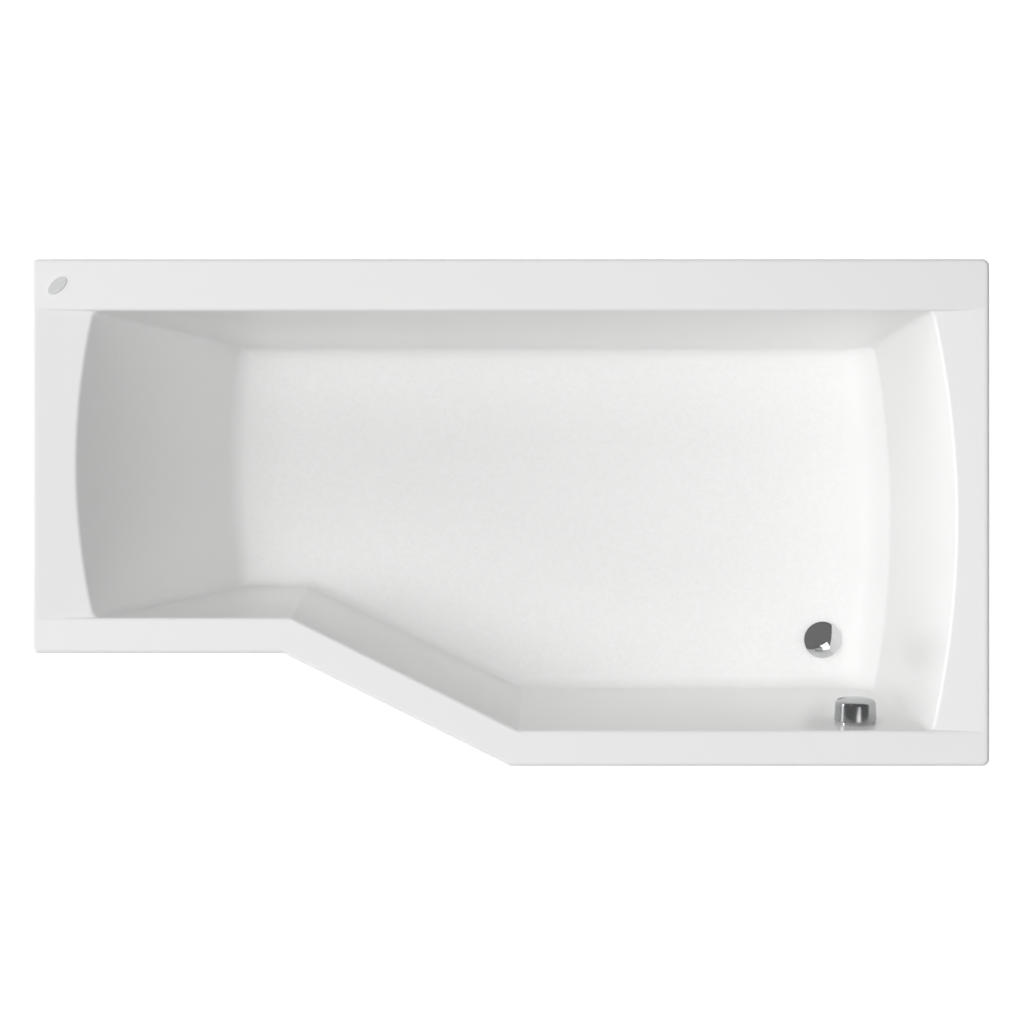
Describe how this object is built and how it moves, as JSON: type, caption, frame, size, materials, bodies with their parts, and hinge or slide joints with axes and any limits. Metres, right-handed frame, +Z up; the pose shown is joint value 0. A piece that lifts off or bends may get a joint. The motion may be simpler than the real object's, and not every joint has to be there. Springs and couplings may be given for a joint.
{
  "type": "bathtub",
  "caption": "Asymmetric shower bath: white acrylic basin, wide at the waste end, with sloping backrest, pop-up waste worked by an overflow knob, trap, and screw-adjusted feet.",
  "frame": {"origin": "on the floor of the room, under the middle of the rim's outline", "axes": "+X from the lying end to the waste end, +Y from the open front to the wall, +Z up"},
  "size_m": [1.7, 0.9, 0.5816],
  "materials": {
    "acrylic": "polished white",
    "glass_fibre": "rough laminate",
    "chipboard": "raw chipboard",
    "zinc_steel": "bright zinc",
    "foot_plastic": "moulded",
    "chrome": "polished",
    "badge_silver": "satin",
    "rubber": "moulded",
    "white_plastic": "moulded",
    "grey_plastic": "moulded",
    "hose_plastic": "moulded",
    "cable_plastic": "extruded",
    "brass": "turned",
    "wire_steel": "drawn"
  },
  "bodies": {
    "bath": {"bath_shell": "acrylic", "fibreglass_backing": "glass_fibre", "base_board": "chipboard", "head_leg_bar": "zinc_steel", "foot_leg_bar": "zinc_steel", "front_leg_bracket": "zinc_steel", "leg_bar_screws": "zinc_steel", "leg_weld_nuts": "zinc_steel", "leg_lock_nuts": "zinc_steel", "overflow_screws": "zinc_steel", "lift_lever_pin": "zinc_steel", "overflow_face": "chrome", "waste_flange": "chrome", "corner_badge": "badge_silver", "waste_top_seal": "rubber", "waste_bottom_seal": "rubber", "overflow_seal": "rubber", "waste_body": "white_plastic", "overflow_body": "white_plastic", "trap_bend": "white_plastic", "trap_outlet": "white_plastic", "trap_inlet_nut": "grey_plastic", "trap_outlet_nut": "grey_plastic", "hose_top_nut": "grey_plastic", "hose_bottom_nut": "grey_plastic", "overflow_hose": "hose_plastic", "cable_sheath": "cable_plastic", "cable_top_gland": "brass", "cable_bottom_gland": "brass", "cable_wire": "wire_steel"},
    "knob": {"overflow_knob": "chrome", "knob_spindle": "brass", "knob_screw": "zinc_steel", "cable_crank": "white_plastic"},
    "plug": {"plug_cap": "chrome", "plug_seal": "rubber", "plug_stem": "brass"},
    "lever": {"lift_lever": "white_plastic"},
    "foot_1": {"foot_pad_1": "foot_plastic"},
    "stud_1": {"foot_stud_1": "zinc_steel"},
    "foot_2": {"foot_pad_2": "foot_plastic"},
    "stud_2": {"foot_stud_2": "zinc_steel"},
    "foot_3": {"foot_pad_3": "foot_plastic"},
    "stud_3": {"foot_stud_3": "zinc_steel"},
    "foot_4": {"foot_pad_4": "foot_plastic"},
    "stud_4": {"foot_stud_4": "zinc_steel"},
    "foot_5": {"foot_pad_5": "foot_plastic"},
    "stud_5": {"foot_stud_5": "zinc_steel"}
  },
  "joints": [
    {"name": "knob_turn", "type": "hinge", "parent": "bath", "child": "knob", "pos_m": [0.624, -0.37811, 0.501], "axis": [0, 0.9937, 0.1118], "range_deg": [0, 90]},
    {"name": "plug_lift", "type": "slide", "parent": "bath", "child": "plug", "axis": [0, 0, 1], "range_m": [0, 0.01]},
    {"name": "lever_swing", "type": "hinge", "parent": "bath", "child": "lever", "pos_m": [0.61391, -0.22808, 0.114], "axis": [-0.9962, 0.0869, 0], "range_deg": [0, 27]},
    {"name": "foot_height_1", "type": "slide", "parent": "bath", "child": "foot_1", "axis": [0, 0, 1], "range_m": [-0.015, 0.015]},
    {"name": "stud_turn_1", "type": "hinge", "parent": "foot_1", "child": "stud_1", "pos_m": [-0.43, -0.174, 0.1], "axis": [0, 0, 1], "range_deg": [-3600, 3600]},
    {"name": "foot_height_2", "type": "slide", "parent": "bath", "child": "foot_2", "axis": [0, 0, 1], "range_m": [-0.015, 0.015]},
    {"name": "stud_turn_2", "type": "hinge", "parent": "foot_2", "child": "stud_2", "pos_m": [-0.43, 0.352, 0.1], "axis": [0, 0, 1], "range_deg": [-3600, 3600]},
    {"name": "foot_height_3", "type": "slide", "parent": "bath", "child": "foot_3", "axis": [0, 0, 1], "range_m": [-0.015, 0.015]},
    {"name": "stud_turn_3", "type": "hinge", "parent": "foot_3", "child": "stud_3", "pos_m": [0.43, -0.374, 0.1], "axis": [0, 0, 1], "range_deg": [-3600, 3600]},
    {"name": "foot_height_4", "type": "slide", "parent": "bath", "child": "foot_4", "axis": [0, 0, 1], "range_m": [-0.015, 0.015]},
    {"name": "stud_turn_4", "type": "hinge", "parent": "foot_4", "child": "stud_4", "pos_m": [0.43, 0.352, 0.1], "axis": [0, 0, 1], "range_deg": [-3600, 3600]},
    {"name": "foot_height_5", "type": "slide", "parent": "bath", "child": "foot_5", "axis": [0, 0, 1], "range_m": [-0.015, 0.015]},
    {"name": "stud_turn_5", "type": "hinge", "parent": "foot_5", "child": "stud_5", "pos_m": [0.06, -0.374, 0.1], "axis": [0, 0, 1], "range_deg": [-3600, 3600]}
  ],
  "couplings": [
    {"joint": "plug_lift", "follows": "knob_turn", "m_per_rad": 0.006366},
    {"joint": "lever_swing", "follows": "knob_turn", "ratio": 0.2999},
    {"joint": "stud_turn_1", "follows": "foot_height_1", "rad_per_m": 4188},
    {"joint": "stud_turn_2", "follows": "foot_height_2", "rad_per_m": 4188},
    {"joint": "stud_turn_3", "follows": "foot_height_3", "rad_per_m": 4188},
    {"joint": "stud_turn_4", "follows": "foot_height_4", "rad_per_m": 4188},
    {"joint": "stud_turn_5", "follows": "foot_height_5", "rad_per_m": 4188}
  ]
}
